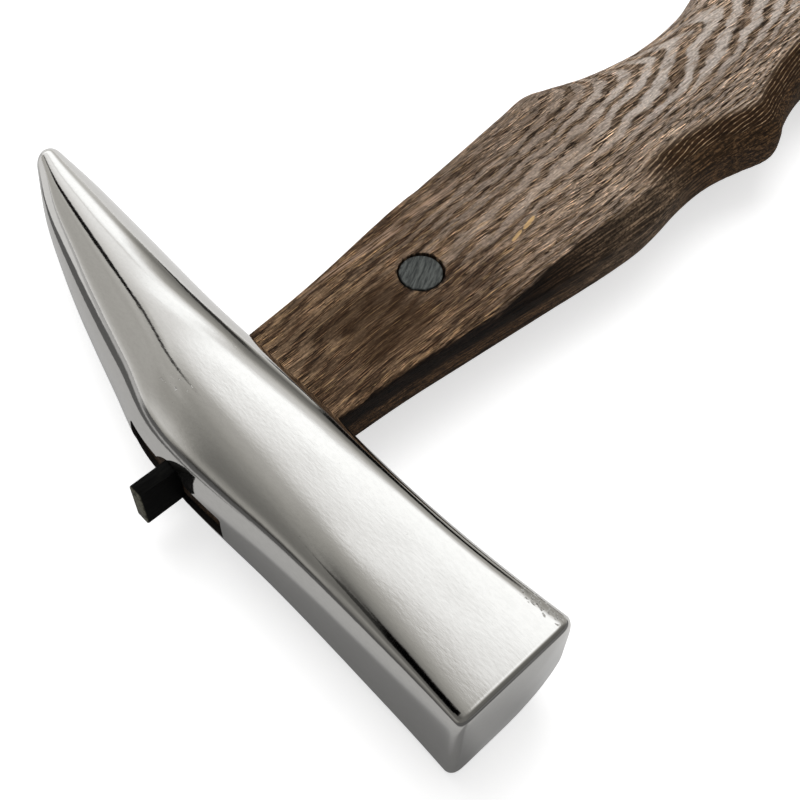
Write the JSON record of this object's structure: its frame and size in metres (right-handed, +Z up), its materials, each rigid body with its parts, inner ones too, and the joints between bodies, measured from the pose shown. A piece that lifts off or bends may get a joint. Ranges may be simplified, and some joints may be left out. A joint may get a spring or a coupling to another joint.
{
  "type": "sheet metal hammer",
  "caption": "Hand-forged hammer with a square face and a long round drooping pick, wedged and dowelled on a waved wooden handle.",
  "frame": {"origin": "on the resting lower cheek, under the crossing of the head's axis and the handle's axis", "axes": "+X from the pick to the striking face, +Y along the handle to its butt, +Z up through the cheeks"},
  "size_m": [0.1393, 0.2995, 0.024],
  "materials": {
    "polished_steel": "mirror polished",
    "charred_wood": "charred and brushed open grain",
    "black_wood": "satin black",
    "slate_wood": "satin stained"
  },
  "bodies": {
    "root": {"hammer_head": "polished_steel", "handle": "charred_wood", "eye_wedge": "black_wood", "neck_dowel": "slate_wood"}
  },
  "joints": []
}
